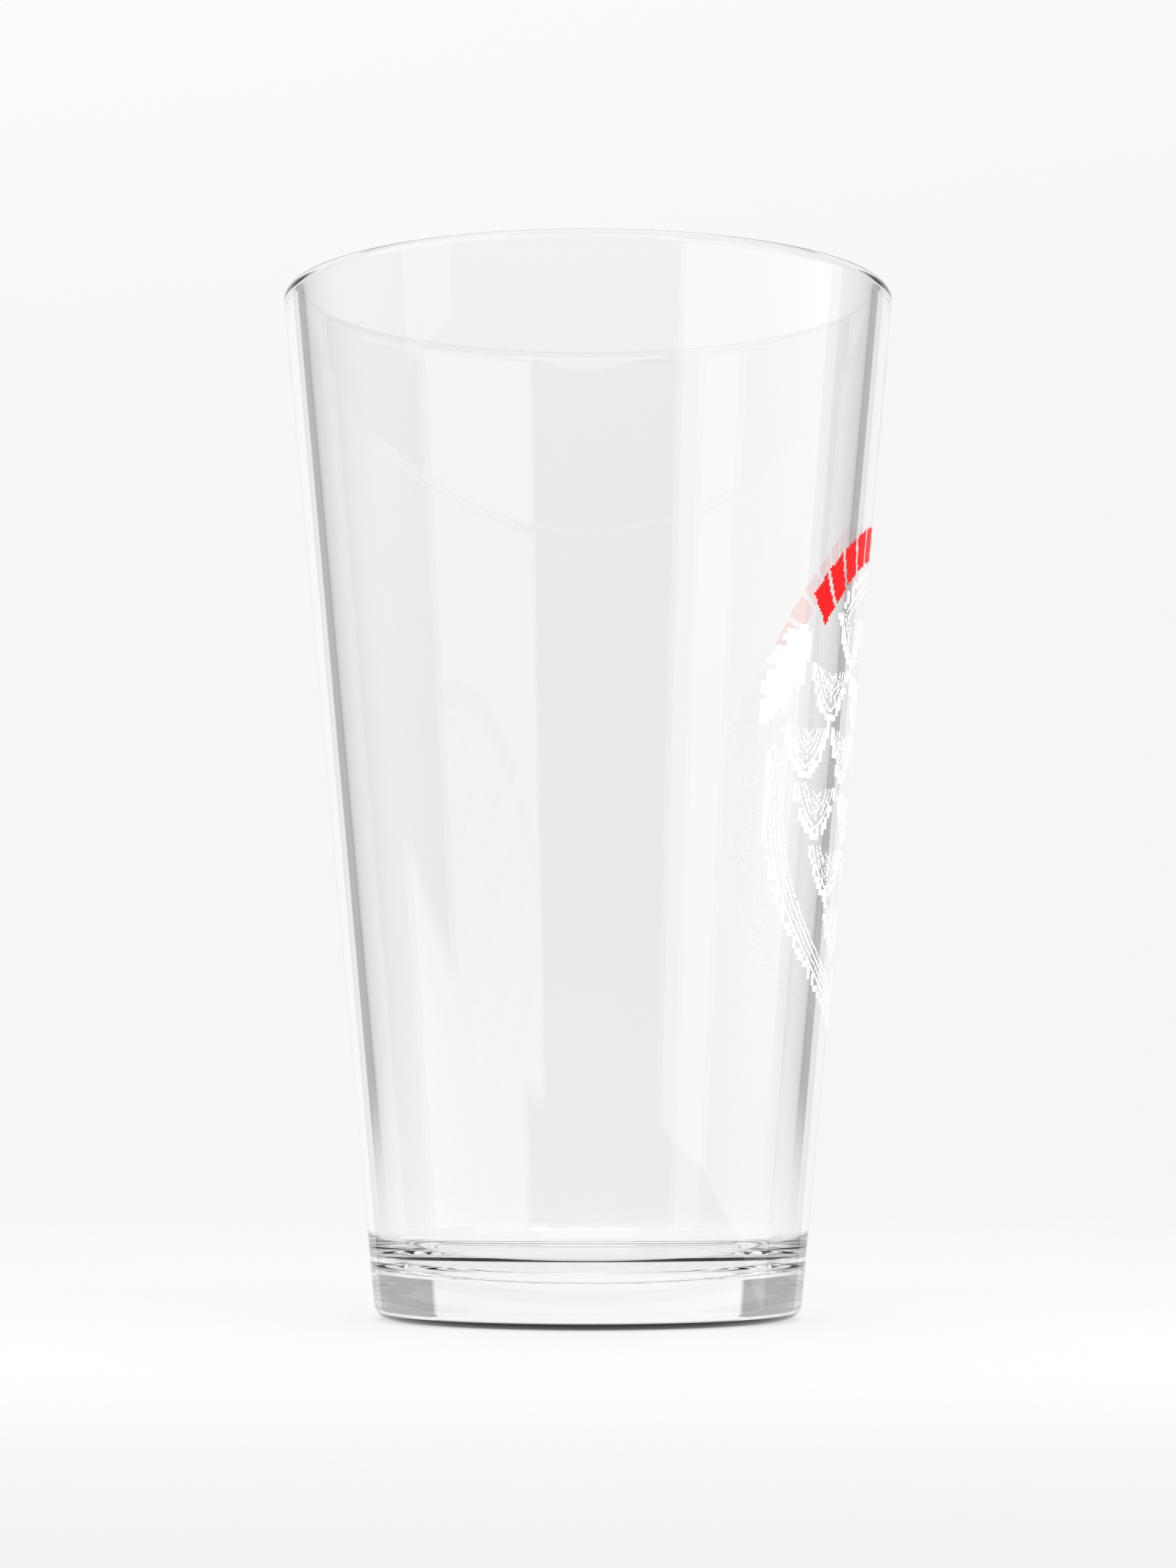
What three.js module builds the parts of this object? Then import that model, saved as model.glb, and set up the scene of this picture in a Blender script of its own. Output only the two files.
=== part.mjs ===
// Pint glass: a tapered, straight-sided drinking glass with a screen-printed
// decoration on one side. Millimetres, +Z up. The origin is the centre of the
// base, at the height of the surface that the glass stands on. The print is
// centred on the +X side.
//
// The glass is one pressed and fire-polished body. The print is two passes of
// ink, red and white, and every separate island of ink is its own solid.

import * as THREE from "three";

// Driving dimensions of the glass.
const HEIGHT = 148.2;
const RIM_DIAMETER = 88.9;
const BASE_DIAMETER = 60.7; // where the outer taper meets the standing plane
const WALL = 3.0; // thickness, measured square to the wall
const LIP_RADIUS = WALL / 2; // the rim is a full round
const HEEL_RADIUS = 2.4;
const FLOOR_HEIGHT = 6.1; // lowest point inside, in the middle of the bowl-shaped floor
const FLOOR_RISE = 1.5; // how far the floor's bowl has risen where its fillet begins
const FLOOR_FILLET = 5.6; // between the floor and the wall
const PUNT_DEPTH = 0.8; // hollow under the base
const PUNT_RADIUS = 23.0;
const PUNT_SHOULDER = 2.0; // radial length of the slope from the punt to the bearing ring
const GLASS_SIDES = 96;
const HEEL_STEPS = 5;
const LIP_STEPS = 8;
const FILLET_STEPS = 6;
const BOWL_STEPS = 6;
const SHOULDER_STEPS = 4;

// Driving dimensions of the print. Its own coordinates are u, around the glass
// from the middle of the print, and v, upwards from the height of that middle.
const PRINT_HEIGHT = 79.0;
const PRINT_RADIUS = 37.7; // outer radius of the glass at that height
const INK_THICKNESS = 0.12;
const INK_CLEARANCE = 0.03; // from the true cone, so the ink clears its flat facets too
const INK_STEP = 1.6; // longest chord around the glass

// The red arc of plain blocks.
const ARC_CENTRE_V = 3.4;
const ARC_INNER = 26.4;
const ARC_OUTER = 31.2;
const ARC_BLOCKS = 12;
const ARC_PITCH = (9.3 * Math.PI) / 180;
const ARC_BLOCK_SHARE = 0.8; // of the pitch, the rest is the gap
const ARC_LEAN = (3.0 * Math.PI) / 180; // how far a block's top leans around the arc

// The white hop cone: rows of pointed bracts, from the bottom tip upwards.
const CONE_ROWS = [
  { bracts: 1, halfWidth: 6.5, ribs: false },
  { bracts: 2, halfWidth: 15.5, ribs: true },
  { bracts: 3, halfWidth: 22.5, ribs: true },
  { bracts: 4, halfWidth: 27.5, ribs: true },
  { bracts: 5, halfWidth: 30.5, ribs: true },
  { bracts: 4, halfWidth: 25.0, ribs: true },
  { bracts: 3, halfWidth: 18.5, ribs: false },
];
const CONE_TIP_V = -36.0;
const CONE_ROW_PITCH = 8.2;
const BRACT_GAP = 1.4; // between the centre lines of neighbouring bracts
const BRACT_RISE = 6.9;
const BRACT_STEPS = 6; // chords on each side of a bract
const RIB_LENGTH = 3.8;
const RIB_LIFT = 2.6; // from the bract's tip to the start of its rib
const DRAWN_LINE = 0.8; // width of the drawn lines

// The outer line down each side of the cone: a curve through its two ends,
// pulled outwards by the middle point.
const OUTLINE_POINTS = [
  { u: 31.8, v: 0.5 },
  { u: 37.0, v: -26.0 },
  { u: 3.5, v: -37.6 },
];
const OUTLINE_STEPS = 20;

// The two solid leaves and the stem at the top of the cone.
const LEAF_ROOT = { u: 26.0, v: 17.5 };
const LEAF_TIP = { u: 34.3, v: 3.2 };
const LEAF_HALF_WIDTH = 4.2;
const LEAF_TEETH = 4;
const TOOTH_SHARES = [0.06, 0.5, 0.94]; // where a tooth's outline has its points
const LEAF_ACROSS = 8;
const STEM_FOOT_V = 21.5;
const STEM_LENGTH = 7.0;
const STEM_BEND = 2.2;
const STEM_WIDTH = 1.8;
const STEM_STEPS = 5;

const taper = (RIM_DIAMETER - BASE_DIAMETER) / 2 / HEIGHT;
const taperAngle = Math.atan(taper);
const outerRadius = (z) => BASE_DIAMETER / 2 + taper * z;
const innerRadius = (z) => outerRadius(z) - WALL / Math.cos(taperAngle);

const glassMaterial = new THREE.MeshStandardMaterial({
  name: "clear_glass",
  color: 0xf2f5f5,
  roughness: 0.02,
  metalness: 0,
  transparent: true,
  opacity: 0.35,
});
const redInk = new THREE.MeshStandardMaterial({
  name: "red_ink",
  color: 0xff1c1c,
  roughness: 0.45,
  metalness: 0,
});
const whiteInk = new THREE.MeshStandardMaterial({
  name: "white_ink",
  color: 0xffffff,
  roughness: 0.5,
  metalness: 0,
});

// Points of a circular arc in the profile plane, from one angle to another.
function arcPoints(centreRadius, centreHeight, radius, from, to, steps) {
  return Array.from({ length: steps + 1 }, (_, i) => {
    const angle = from + ((to - from) * i) / steps;
    return new THREE.Vector2(
      centreRadius + radius * Math.cos(angle),
      centreHeight + radius * Math.sin(angle),
    );
  });
}

// The slope under the base from the punt down to the bearing ring, as half a
// cosine wave.
function shoulderPoints() {
  return Array.from({ length: SHOULDER_STEPS + 1 }, (_, i) => {
    const share = i / SHOULDER_STEPS;
    const height = (PUNT_DEPTH * (1 + Math.cos(Math.PI * share))) / 2;
    return new THREE.Vector2(PUNT_RADIUS + PUNT_SHOULDER * share, height);
  });
}

// The inside of the base, from the wall to the axis: a fillet and a shallow
// round bowl that meets it smoothly.
function floorPoints() {
  const filletHeight = FLOOR_HEIGHT + FLOOR_RISE + FLOOR_FILLET;
  const filletCentre = innerRadius(filletHeight) - FLOOR_FILLET / Math.cos(taperAngle);
  const drop = filletHeight - FLOOR_HEIGHT;
  const bowlRadius =
    (filletCentre ** 2 + drop ** 2 - FLOOR_FILLET ** 2) / (2 * (drop - FLOOR_FILLET));
  const bowlCentre = FLOOR_HEIGHT + bowlRadius;
  const down = -Math.PI / 2;
  const bowlEdge = down + Math.asin(filletCentre / (bowlRadius - FLOOR_FILLET));
  return [
    ...arcPoints(filletCentre, filletHeight, FLOOR_FILLET, -taperAngle, bowlEdge, FILLET_STEPS),
    ...arcPoints(0, bowlCentre, bowlRadius, bowlEdge, down, BOWL_STEPS).slice(1, -1),
    new THREE.Vector2(0, FLOOR_HEIGHT),
  ];
}

// Half section of the glass: from the axis under the base, out over the bearing
// ring, up the outside, over the lip, down the inside and back to the axis.
function glassProfile() {
  const down = -Math.PI / 2;
  const outward = -taperAngle;
  const heelCentre = outerRadius(HEEL_RADIUS) - HEEL_RADIUS / Math.cos(taperAngle);
  const lipHeight = HEIGHT - LIP_RADIUS;
  const lipCentre = outerRadius(lipHeight) - LIP_RADIUS / Math.cos(taperAngle);
  return [
    new THREE.Vector2(0, PUNT_DEPTH),
    ...shoulderPoints(),
    ...arcPoints(heelCentre, HEEL_RADIUS, HEEL_RADIUS, down, outward, HEEL_STEPS),
    ...arcPoints(lipCentre, lipHeight, LIP_RADIUS, outward, outward + Math.PI, LIP_STEPS),
    ...floorPoints(),
  ];
}

function makeGlass() {
  const geometry = new THREE.LatheGeometry(glassProfile(), GLASS_SIDES);
  const mesh = new THREE.Mesh(geometry, glassMaterial);
  mesh.name = "glass_body";
  // The lathe turns its profile around +Y, so the body is stood up on +Z.
  mesh.rotation.x = Math.PI / 2;
  return mesh;
}

// A point of the print at a depth of ink above the glass.
function onGlass(u, v, depth) {
  const angle = u / PRINT_RADIUS;
  const z = PRINT_HEIGHT + v;
  const radius = outerRadius(z) + depth;
  return [radius * Math.cos(angle), radius * Math.sin(angle), z];
}

// An island of ink from a grid of [u, v] points: rows run along the island, and
// each row crosses it from left to right as seen from outside. The skin has an
// inner face, an outer face and a wall round its edge.
function inkIsland(name, rows, material) {
  const along = rows.length;
  const across = rows[0].length;
  const layers = [INK_CLEARANCE, INK_CLEARANCE + INK_THICKNESS];
  const positions = layers.flatMap((depth) =>
    rows.flatMap((row) => row.flatMap(([u, v]) => onGlass(u, v, depth))),
  );
  const indices = [];
  const quad = (a, b, c, d) => indices.push(a, b, c, a, c, d);
  const inner = (i, j) => i * across + j;
  const outer = (i, j) => along * across + inner(i, j);
  for (let i = 0; i + 1 < along; i++) {
    for (let j = 0; j + 1 < across; j++) {
      quad(outer(i, j), outer(i, j + 1), outer(i + 1, j + 1), outer(i + 1, j));
      quad(inner(i, j), inner(i + 1, j), inner(i + 1, j + 1), inner(i, j + 1));
    }
    quad(inner(i, 0), outer(i, 0), outer(i + 1, 0), inner(i + 1, 0));
    const last = across - 1;
    quad(outer(i, last), inner(i, last), inner(i + 1, last), outer(i + 1, last));
  }
  for (let j = 0; j + 1 < across; j++) {
    quad(inner(0, j), inner(0, j + 1), outer(0, j + 1), outer(0, j));
    const end = along - 1;
    quad(outer(end, j), outer(end, j + 1), inner(end, j + 1), inner(end, j));
  }
  const geometry = new THREE.BufferGeometry();
  geometry.setAttribute("position", new THREE.Float32BufferAttribute(positions, 3));
  geometry.setIndex(indices);
  geometry.computeVertexNormals();
  const mesh = new THREE.Mesh(geometry, material);
  mesh.name = name;
  return mesh;
}

const twoDigits = (number) => String(number).padStart(2, "0");
const mix = (from, to, share) => from + (to - from) * share;

// A row of points from one side of an island to the other, in equal pieces.
function rowBetween(left, right, pieces) {
  return Array.from({ length: pieces + 1 }, (_, i) => [
    mix(left[0], right[0], i / pieces),
    mix(left[1], right[1], i / pieces),
  ]);
}

// A drawn line of constant width along a list of [u, v] points.
function inkLine(name, points, width, material) {
  const rows = points.map(([u, v], i) => {
    const before = points[Math.max(i - 1, 0)];
    const after = points[Math.min(i + 1, points.length - 1)];
    const length = Math.hypot(after[0] - before[0], after[1] - before[1]);
    const sideU = ((after[1] - before[1]) / length) * (width / 2);
    const sideV = (-(after[0] - before[0]) / length) * (width / 2);
    return rowBetween([u - sideU, v - sideV], [u + sideU, v + sideV], 1);
  });
  return inkIsland(name, rows, material);
}

// Red blocks in an arc over the cone, each leaning the same way.
function makeArcBlocks() {
  const middle = (ARC_BLOCKS - 1) / 2;
  const across = Math.ceil((ARC_PITCH * ARC_OUTER) / INK_STEP);
  return Array.from({ length: ARC_BLOCKS }, (_, i) => {
    const centre = (i - middle) * ARC_PITCH;
    const half = (ARC_PITCH * ARC_BLOCK_SHARE) / 2;
    const rows = [0, 1 / 3, 2 / 3, 1].map((share) => {
      const radius = mix(ARC_INNER, ARC_OUTER, share);
      const lean = ARC_LEAN * (share - 1 / 2);
      return Array.from({ length: across + 1 }, (_, j) => {
        const angle = centre + lean + mix(-half, half, j / across);
        return [radius * Math.sin(angle), ARC_CENTRE_V + radius * Math.cos(angle)];
      });
    });
    return inkIsland(`red_arc_block_${twoDigits(i + 1)}`, rows, redInk);
  });
}

// Height of a bract's line above its tip, at a share of its half width: steady
// from the pointed tip, then rounding up into the shoulder.
const bractHeight = (share) => BRACT_RISE * (0.45 * share + 0.55 * share ** 3);

// A bract is a pointed scale drawn as an open line.
function makeBract(name, tipU, tipV, halfWidth) {
  const points = Array.from({ length: 2 * BRACT_STEPS + 1 }, (_, i) => {
    const share = (i - BRACT_STEPS) / BRACT_STEPS;
    return [tipU + share * halfWidth, tipV + bractHeight(Math.abs(share))];
  });
  return inkLine(name, points, DRAWN_LINE, whiteInk);
}

// A bract's rib is a short upright line inside it.
function makeRib(name, tipU, tipV) {
  const foot = tipV + RIB_LIFT;
  const points = [0, 1 / 2, 1].map((share) => [tipU, foot + share * RIB_LENGTH]);
  return inkLine(name, points, DRAWN_LINE, whiteInk);
}

// All bracts and ribs, named by row from the bottom and by place from the left.
function makeCone() {
  return CONE_ROWS.flatMap(({ bracts, halfWidth, ribs }, row) => {
    const pitch = (2 * halfWidth) / bracts;
    const tipV = CONE_TIP_V + row * CONE_ROW_PITCH;
    return Array.from({ length: bracts }, (_, i) => {
      const tipU = (i - (bracts - 1) / 2) * pitch;
      const place = `row${row + 1}_${i + 1}`;
      const bract = makeBract(`hop_bract_${place}`, tipU, tipV, (pitch - BRACT_GAP) / 2);
      return ribs ? [bract, makeRib(`hop_rib_${place}`, tipU, tipV)] : [bract];
    }).flat();
  });
}

// The outer line on the given side of the cone, -1 left or 1 right.
function makeOutline(name, side) {
  const ends = OUTLINE_POINTS.map(({ u, v }) => new THREE.Vector2(side * u, v));
  const curve = new THREE.QuadraticBezierCurve(...ends);
  const points = curve.getPoints(OUTLINE_STEPS).map(({ x, y }) => [x, y]);
  return inkLine(name, points, DRAWN_LINE, whiteInk);
}

// Half width of a leaf at a share of its length, with a share of one saw tooth:
// the body is widest near its middle, and each tooth points towards the tip.
function leafHalfWidth(share, tooth) {
  const body = Math.sin(Math.PI * share ** 0.8) ** 0.7;
  return LEAF_HALF_WIDTH * body * (0.72 + 0.28 * tooth);
}

// One solid leaf on the given side of the cone, -1 left or 1 right.
function makeLeaf(name, side) {
  const lengthU = LEAF_TIP.u - LEAF_ROOT.u;
  const lengthV = LEAF_TIP.v - LEAF_ROOT.v;
  const length = Math.hypot(lengthU, lengthV);
  const rows = [];
  for (let tooth = 0; tooth < LEAF_TEETH; tooth++) {
    for (const toothShare of TOOTH_SHARES) {
      const share = (tooth + toothShare) / LEAF_TEETH;
      const half = leafHalfWidth(share, toothShare);
      const midU = LEAF_ROOT.u + lengthU * share;
      const midV = LEAF_ROOT.v + lengthV * share;
      const edgeU = (-lengthV / length) * half;
      const edgeV = (lengthU / length) * half;
      const above = [side * (midU + edgeU), midV + edgeV];
      const below = [side * (midU - edgeU), midV - edgeV];
      const ends = side > 0 ? [above, below] : [below, above];
      rows.push(rowBetween(...ends, LEAF_ACROSS));
    }
  }
  return inkIsland(name, rows, whiteInk);
}

function makeStem() {
  const points = Array.from({ length: STEM_STEPS + 1 }, (_, i) => {
    const share = i / STEM_STEPS;
    return [STEM_BEND * share ** 2, STEM_FOOT_V + STEM_LENGTH * share];
  });
  return inkLine("hop_stem", points, STEM_WIDTH, whiteInk);
}

const pintGlass = new THREE.Group();
pintGlass.name = "pint_glass";
pintGlass.add(makeGlass());
pintGlass.add(...makeArcBlocks());
pintGlass.add(...makeCone());
pintGlass.add(makeOutline("hop_outline_left", -1));
pintGlass.add(makeOutline("hop_outline_right", 1));
pintGlass.add(makeLeaf("hop_leaf_left", -1));
pintGlass.add(makeLeaf("hop_leaf_right", 1));
pintGlass.add(makeStem());

export default pintGlass;
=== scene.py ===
# %% [markdown]
# # A printed pint glass
#
# A pint glass is one pressed body of clear glass, standing on a thick base, with
# a print of cured ink on one side. It is a hard thing to show, because a clear
# object has hardly any colour of its own. What the eye reads is the room behind
# it, bent at the edges, and the lamps, mirrored in its walls. So this lesson
# spends its care on three things: an exact half section for the glass, an ink
# film that truly touches it, and a room that is worth reflecting.
#
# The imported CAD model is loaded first. It is the frame that every finer piece
# is built around, in metres, with +Z up and the print on the +X side.

# %% Load the frame
import math
import random

import bmesh
import bpy
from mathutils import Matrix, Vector


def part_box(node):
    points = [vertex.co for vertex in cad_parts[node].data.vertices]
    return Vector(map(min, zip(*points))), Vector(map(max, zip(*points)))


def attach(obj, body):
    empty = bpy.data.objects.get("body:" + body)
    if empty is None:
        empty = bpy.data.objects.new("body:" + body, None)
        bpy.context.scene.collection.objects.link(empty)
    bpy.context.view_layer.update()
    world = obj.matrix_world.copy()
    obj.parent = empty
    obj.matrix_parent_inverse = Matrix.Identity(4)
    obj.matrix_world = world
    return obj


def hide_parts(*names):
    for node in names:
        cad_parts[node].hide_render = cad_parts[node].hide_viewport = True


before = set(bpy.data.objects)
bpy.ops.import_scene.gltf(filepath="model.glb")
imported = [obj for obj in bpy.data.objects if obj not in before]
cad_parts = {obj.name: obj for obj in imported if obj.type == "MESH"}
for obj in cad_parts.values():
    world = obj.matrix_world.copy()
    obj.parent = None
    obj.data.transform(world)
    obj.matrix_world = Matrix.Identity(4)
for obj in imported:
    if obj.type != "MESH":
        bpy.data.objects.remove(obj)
scene = bpy.context.scene
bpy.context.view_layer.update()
MM = 0.001

# %% [markdown]
# ## The camera
#
# The camera stands low, a hand's breadth above the table, and looks slightly
# up, so the rim is seen from underneath and the tall glass leans over the
# viewer a little. A long lens keeps the sides nearly straight. It comes early
# in the script because every later choice is judged through it.

# %% Camera
CAMERA_DISTANCE = 0.5386
CAMERA_HEIGHT = 0.0322
CAMERA_TILT = math.radians(4.714)
CAMERA_LENS = 85.8

camera_data = bpy.data.cameras.new("table_camera")
camera_data.lens = CAMERA_LENS
camera_data.clip_start = 0.01
camera = bpy.data.objects.new("table_camera", camera_data)
camera.location = (0, -CAMERA_DISTANCE, CAMERA_HEIGHT)
camera.rotation_euler = (math.pi / 2 + CAMERA_TILT, 0, 0)
scene.collection.objects.link(camera)
scene.camera = camera
print("Camera at", tuple(round(c, 3) for c in camera.location))

# %% [markdown]
# ## The half section of the glass
#
# Round ware is described by half of its section: a line that starts on the axis
# under the base, runs out over the ring that the glass stands on, up the
# outside, over the lip, down the inside and back to the axis. Drawing it from
# arcs and straight runs, as a mould maker would, keeps every curve true. The
# height comes from the CAD model's box, and the other sizes are the mould's.

# %% Sizes of the glass
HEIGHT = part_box("glass_body")[1].z
RIM_RADIUS = 44.45 * MM
BASE_RADIUS = 30.35 * MM
WALL = 3.0 * MM
LIP_RADIUS = WALL / 2
HEEL_RADIUS = 2.4 * MM
FLOOR_HEIGHT = 6.1 * MM
FLOOR_RISE = 1.5 * MM
FLOOR_FILLET = 5.6 * MM
PUNT_DEPTH = 0.8 * MM
PUNT_RADIUS = 23.0 * MM
PUNT_SHOULDER = 2.0 * MM

taper = (RIM_RADIUS - BASE_RADIUS) / HEIGHT
taper_angle = math.atan(taper)


def outer_radius(z):
    return BASE_RADIUS + taper * z


def inner_radius(z):
    return outer_radius(z) - WALL / math.cos(taper_angle)


print("Rim", round(2 * RIM_RADIUS / MM, 1), "mm across, height", round(HEIGHT / MM, 1), "mm")


# %% [markdown]
# Smooth shading blends the direction of neighbouring faces. Where a long
# straight wall meets a small arc, that blend would bend the whole wall's
# reflections. The cure is a pair of support loops: extra rings close to each
# end of a straight run, so the blend happens in a hair's breadth.

# %% Arcs and straight runs
SUPPORT_DISTANCES = (0.12 * MM, 0.5 * MM, 2.0 * MM)
WALL_STEPS = 24
ROUND_STEPS = 28  # in the lip and in the fillet of the floor


def arc(centre_r, centre_z, radius, start, end, steps):
    """Points on an arc of the half section, from one angle to another."""
    angles = [start + (end - start) * i / steps for i in range(steps + 1)]
    return [(centre_r + radius * math.cos(a), centre_z + radius * math.sin(a)) for a in angles]


def straight(start, end, steps=WALL_STEPS):
    """Points strictly between two ends, with support loops close to both."""
    length = math.dist(start, end)
    near = [d / length for d in SUPPORT_DISTANCES if d < length / 4]
    evenly = [i / steps for i in range(1, steps)]
    clear = [s for s in evenly if near[-1] < s < 1 - near[-1]]
    shares = near + clear + [1 - s for s in reversed(near)]
    return [tuple(a + (b - a) * s for a, b in zip(start, end)) for s in shares]


# %% [markdown]
# The floor inside is a shallow round bowl. It meets the wall in a fillet, and
# the radius of the bowl follows from asking the two arcs to touch without a
# kink. Three faint rings stay in the bowl from the plunger that pressed it.
# They are a hundredth of a millimetre high, which is still enough for clear
# glass to show them.

# %% The bowl inside the base
RING_RADII = (23.0 * MM, 18.0 * MM, 12.5 * MM)
RING_HEIGHT = 0.012 * MM
RING_WIDTH = 0.7 * MM
DISH_STEPS = 90


def plunger_rings(r):
    """Height of the plunger's faint rings at a radius of the bowl."""
    return sum(RING_HEIGHT * math.exp(-(((r - ring) / RING_WIDTH) ** 2)) for ring in RING_RADII)


def floor_points():
    """The inside of the base, from the wall to the axis."""
    fillet_z = FLOOR_HEIGHT + FLOOR_RISE + FLOOR_FILLET
    fillet_r = inner_radius(fillet_z) - FLOOR_FILLET / math.cos(taper_angle)
    drop = fillet_z - FLOOR_HEIGHT
    bowl = (fillet_r**2 + drop**2 - FLOOR_FILLET**2) / (2 * (drop - FLOOR_FILLET))
    bowl_edge = -math.pi / 2 + math.asin(fillet_r / (bowl - FLOOR_FILLET))
    fillet = arc(fillet_r, fillet_z, FLOOR_FILLET, -taper_angle, bowl_edge, ROUND_STEPS)
    dish = arc(0, FLOOR_HEIGHT + bowl, bowl, bowl_edge, -math.pi / 2, DISH_STEPS)[1:-1]
    dish = [(r, z + plunger_rings(r)) for r, z in dish]
    print("Bowl radius", round(bowl / MM), "mm")
    return fillet + dish + [(0, FLOOR_HEIGHT)]


# %% [markdown]
# Now the whole half section. The underside is slightly hollow, so the glass
# stands on a ring and does not rock. The heel is the rounded corner that a
# hand and a table both touch, and the lip is a full round, as fire polishing
# leaves it.

# %% The whole half section
PUNT_STEPS = 10
SHOULDER_STEPS = 12
HEEL_STEPS = 18
STANDING_RING_STEPS = 6


def half_section():
    """The outline of the glass from the axis below to the axis inside."""
    heel_r = outer_radius(HEEL_RADIUS) - HEEL_RADIUS / math.cos(taper_angle)
    lip_z = HEIGHT - LIP_RADIUS
    lip_r = outer_radius(lip_z) - LIP_RADIUS / math.cos(taper_angle)
    punt = [(PUNT_RADIUS * i / PUNT_STEPS, PUNT_DEPTH) for i in range(PUNT_STEPS)]
    shares = [i / SHOULDER_STEPS for i in range(SHOULDER_STEPS + 1)]
    shoulder = [
        (PUNT_RADIUS + PUNT_SHOULDER * s, PUNT_DEPTH * (1 + math.cos(math.pi * s)) / 2)
        for s in shares
    ]
    heel = arc(heel_r, HEEL_RADIUS, HEEL_RADIUS, -math.pi / 2, -taper_angle, HEEL_STEPS)
    lip = arc(lip_r, lip_z, LIP_RADIUS, -taper_angle, math.pi - taper_angle, ROUND_STEPS)
    floor = floor_points()
    ring = straight(shoulder[-1], heel[0], STANDING_RING_STEPS)
    outside = straight(heel[-1], lip[0])
    inside = straight(lip[-1], floor[0])
    return punt + shoulder + ring + heel + outside + lip + inside + floor


outline = half_section()
print("Half section has", len(outline), "points")

# %% [markdown]
# ## Turning the section into glass
#
# A potter turns a profile on a wheel, and bmesh has the same tool: spin. The
# outline is swept once round the Z axis, and the rings of points that fall on
# the axis are merged into one. It needs many steps, because a clear wall with
# flat facets would show each one as a bright line.

# %% Spin the glass
GLASS_SIDES = 288
MERGE_DISTANCE = 0.002 * MM


def spin_solid(name, points, sides):
    """A closed solid of revolution from a half section of (radius, height)."""
    mesh = bpy.data.meshes.new(name)
    spun = bmesh.new()
    ring = [spun.verts.new((r, 0, z)) for r, z in points]
    edges = [spun.edges.new(pair) for pair in zip(ring, ring[1:])]
    bmesh.ops.spin(
        spun,
        geom=ring + edges,
        axis=(0, 0, 1),
        cent=(0, 0, 0),
        angle=2 * math.pi,
        steps=sides,
        use_merge=True,
    )
    bmesh.ops.remove_doubles(spun, verts=spun.verts, dist=MERGE_DISTANCE)
    bmesh.ops.recalc_face_normals(spun, faces=spun.faces)
    for face in spun.faces:
        face.smooth = True
    print(name, "holds", round(spun.calc_volume() / MM**3 / 1000, 1), "cm3 of material")
    spun.to_mesh(mesh)
    spun.free()
    solid = bpy.data.objects.new(name, mesh)
    scene.collection.objects.link(solid)
    return solid


pressed_glass = spin_solid("pressed_glass", outline, GLASS_SIDES)
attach(pressed_glass, "root")
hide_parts("glass_body")

# %% [markdown]
# ## Helpers for node materials
#
# Every finish here is drawn by nodes, and the same few moves come back in all of
# them: a noise of a known size, a value spread between two others, a smooth
# change across a span, and a little arithmetic. Each gets a short function, so
# that a material further down reads like a recipe.

# %% Helpers for node materials
NOISE_LOW = 0.3  # a noise seldom leaves this range
NOISE_HIGH = 0.7


def new_material(name):
    """A material with its node tree, its Principled shader and its output."""
    material = bpy.data.materials.new(name)
    material.use_nodes = True
    nodes = material.node_tree.nodes
    return material, material.node_tree, nodes["Principled BSDF"], nodes["Material Output"]


def add_noise(tree, size, stretch=(1, 1, 1), detail=2.0):
    """A noise over the object whose features are about `size` metres wide."""
    where = tree.nodes.new("ShaderNodeTexCoord")
    scale = tree.nodes.new("ShaderNodeMapping")
    noise = tree.nodes.new("ShaderNodeTexNoise")
    scale.inputs["Scale"].default_value = stretch
    noise.inputs["Scale"].default_value = 1 / size
    noise.inputs["Detail"].default_value = detail
    tree.links.new(where.outputs["Object"], scale.inputs["Vector"])
    tree.links.new(scale.outputs["Vector"], noise.inputs["Vector"])
    return noise.outputs["Fac"]


def remap(tree, value, low, high):
    """Spreads a noise between two values."""
    spread = tree.nodes.new("ShaderNodeMapRange")
    spread.inputs["From Min"].default_value = NOISE_LOW
    spread.inputs["From Max"].default_value = NOISE_HIGH
    spread.inputs["To Min"].default_value = low
    spread.inputs["To Max"].default_value = high
    tree.links.new(value, spread.inputs["Value"])
    return spread.outputs["Result"]


def ramp(tree, value, span, low, high):
    """A smooth change from one level to another while a value crosses a span."""
    node = tree.nodes.new("ShaderNodeMapRange")
    node.interpolation_type = "SMOOTHSTEP"
    settings = {"From Min": span[0], "From Max": span[1], "To Min": low, "To Max": high}
    for socket, level in settings.items():
        node.inputs[socket].default_value = level
    tree.links.new(value, node.inputs["Value"])
    return node.outputs["Result"]


def maths(tree, operation, *values):
    """One Math node, fed by links or by plain numbers."""
    node = tree.nodes.new("ShaderNodeMath")
    node.operation = operation
    for socket, value in zip(node.inputs, values):
        if isinstance(value, (int, float)):
            socket.default_value = value
        else:
            tree.links.new(value, socket)
    return node.outputs["Value"]


def height_and_radius(tree, position):
    """The height of a shaded point and its distance from the glass's axis."""
    split = tree.nodes.new("ShaderNodeSeparateXYZ")
    tree.links.new(position, split.inputs["Vector"])
    squares = [maths(tree, "POWER", split.outputs[axis], 2) for axis in "XY"]
    return split.outputs["Z"], maths(tree, "SQRT", maths(tree, "ADD", *squares))


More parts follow.
